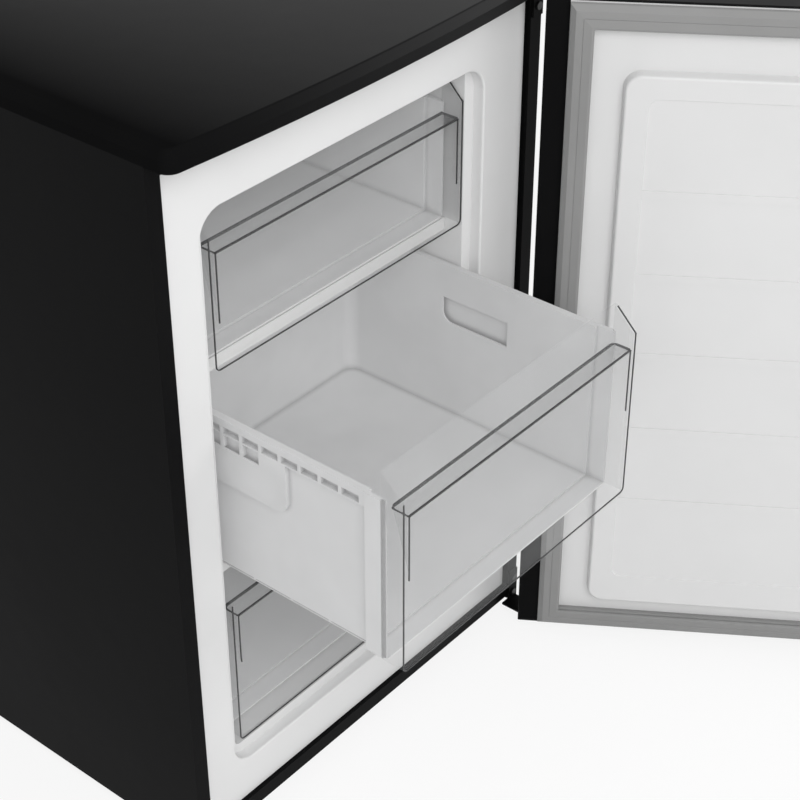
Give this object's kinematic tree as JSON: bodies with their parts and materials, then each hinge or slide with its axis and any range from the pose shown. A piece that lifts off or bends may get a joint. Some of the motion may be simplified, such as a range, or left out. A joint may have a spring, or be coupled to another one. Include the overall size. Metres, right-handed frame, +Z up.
{
  "type": "upright freezer",
  "caption": "Under-counter upright freezer: black steel cabinet and worktop, white moulded inside, hinged door and pull-out clear-fronted drawers.",
  "frame": {"origin": "on the floor under the middle of the cabinet body", "axes": "+X to the right seen from the front, +Y to the back, +Z up; the door and drawers open towards -Y"},
  "size_m": [0.8429, 1.0199, 0.84],
  "materials": {
    "black_steel": "satin",
    "black_plastic": "satin",
    "grey_plastic": "satin",
    "white_liner": "satin",
    "white_plastic": "satin",
    "frosted_plastic": "satin",
    "clear_plastic": "gloss",
    "grey_gasket": "matte",
    "black_rubber": "matte",
    "galvanised_steel": "satin",
    "screw_steel": "satin",
    "coated_tube": "satin",
    "copper": "satin",
    "foam": "matte"
  },
  "bodies": {
    "cabinet": {"cabinet_wrapper": "black_steel", "base_plate": "black_steel", "back_panel": "galvanised_steel", "inner_liner": "white_liner", "cabinet_insulation": "foam", "worktop": "black_plastic", "worktop_angles": "galvanised_steel", "worktop_screws": "screw_steel", "hinge_backing_plates": "galvanised_steel", "top_hinge_bracket": "black_steel", "top_hinge_pin": "screw_steel", "bottom_hinge_bracket": "black_steel", "bottom_hinge_pin": "screw_steel", "hinge_screws": "screw_steel", "upper_evaporator_coil": "coated_tube", "lower_evaporator_coil": "coated_tube", "evaporator_wires": "coated_tube", "evaporator_clips": "white_plastic", "shelf_trims": "white_plastic", "compressor": "black_steel", "compressor_rail": "galvanised_steel", "compressor_grommets": "black_rubber", "compressor_bolts": "screw_steel", "compressor_nuts": "screw_steel", "relay_cover": "black_plastic", "condenser_coil": "black_steel", "condenser_wires": "black_steel", "condenser_brackets": "white_plastic", "rear_screws": "screw_steel", "filter_dryer": "copper", "capillary_tube": "copper", "suction_tube": "copper", "discharge_tube": "copper", "thermostat_housing": "black_plastic", "cord_gland": "black_rubber", "rear_feet": "black_rubber", "foot_inserts": "white_plastic"},
    "door": {"door_skin": "black_steel", "door_insulation": "foam", "door_liner": "white_liner", "door_gasket": "grey_gasket", "gasket_magnets": "black_rubber", "door_top_cap": "black_plastic", "door_bottom_cap": "black_plastic", "top_hinge_bush": "white_plastic", "bottom_hinge_bush": "white_plastic", "grip_insert": "black_plastic"},
    "top_drawer": {"top_bin": "frosted_plastic", "top_drawer_front": "clear_plastic"},
    "middle_drawer": {"middle_bin": "frosted_plastic", "middle_drawer_front": "clear_plastic"},
    "bottom_drawer": {"bottom_bin": "frosted_plastic", "bottom_drawer_front": "clear_plastic"},
    "thermostat_dial": {"thermostat_knob": "grey_plastic"},
    "left_foot": {"front_left_foot": "black_plastic"},
    "right_foot": {"front_right_foot": "black_plastic"}
  },
  "joints": [
    {"name": "door_hinge", "type": "hinge", "parent": "cabinet", "child": "door", "pos_m": [0.2602, -0.2845, 0.4], "axis": [0, 0, 1], "range_deg": [-123.6, 11.4]},
    {"name": "top_drawer_slide", "type": "slide", "parent": "cabinet", "child": "top_drawer", "axis": [0, -1, 0], "range_m": [0, 0.24]},
    {"name": "middle_drawer_slide", "type": "slide", "parent": "cabinet", "child": "middle_drawer", "axis": [0, -1, 0], "range_m": [-0.2223, 0.0206]},
    {"name": "bottom_drawer_slide", "type": "slide", "parent": "cabinet", "child": "bottom_drawer", "axis": [0, -1, 0], "range_m": [0, 0.19]},
    {"name": "thermostat_turn", "type": "hinge", "parent": "cabinet", "child": "thermostat_dial", "pos_m": [0.15, 0.2676, 0.244], "axis": [0, 1, 0], "range_deg": [0, 270]},
    {"name": "left_foot_turn", "type": "hinge", "parent": "cabinet", "child": "left_foot", "pos_m": [-0.233, -0.218, 0.02], "axis": [0, 0, 1], "continuous": true},
    {"name": "right_foot_turn", "type": "hinge", "parent": "cabinet", "child": "right_foot", "pos_m": [0.233, -0.218, 0.02], "axis": [0, 0, 1], "continuous": true}
  ],
  "couplings": [
    {"joint": "middle_drawer_slide", "follows": "door_hinge", "m_per_rad": 0.103}
  ]
}
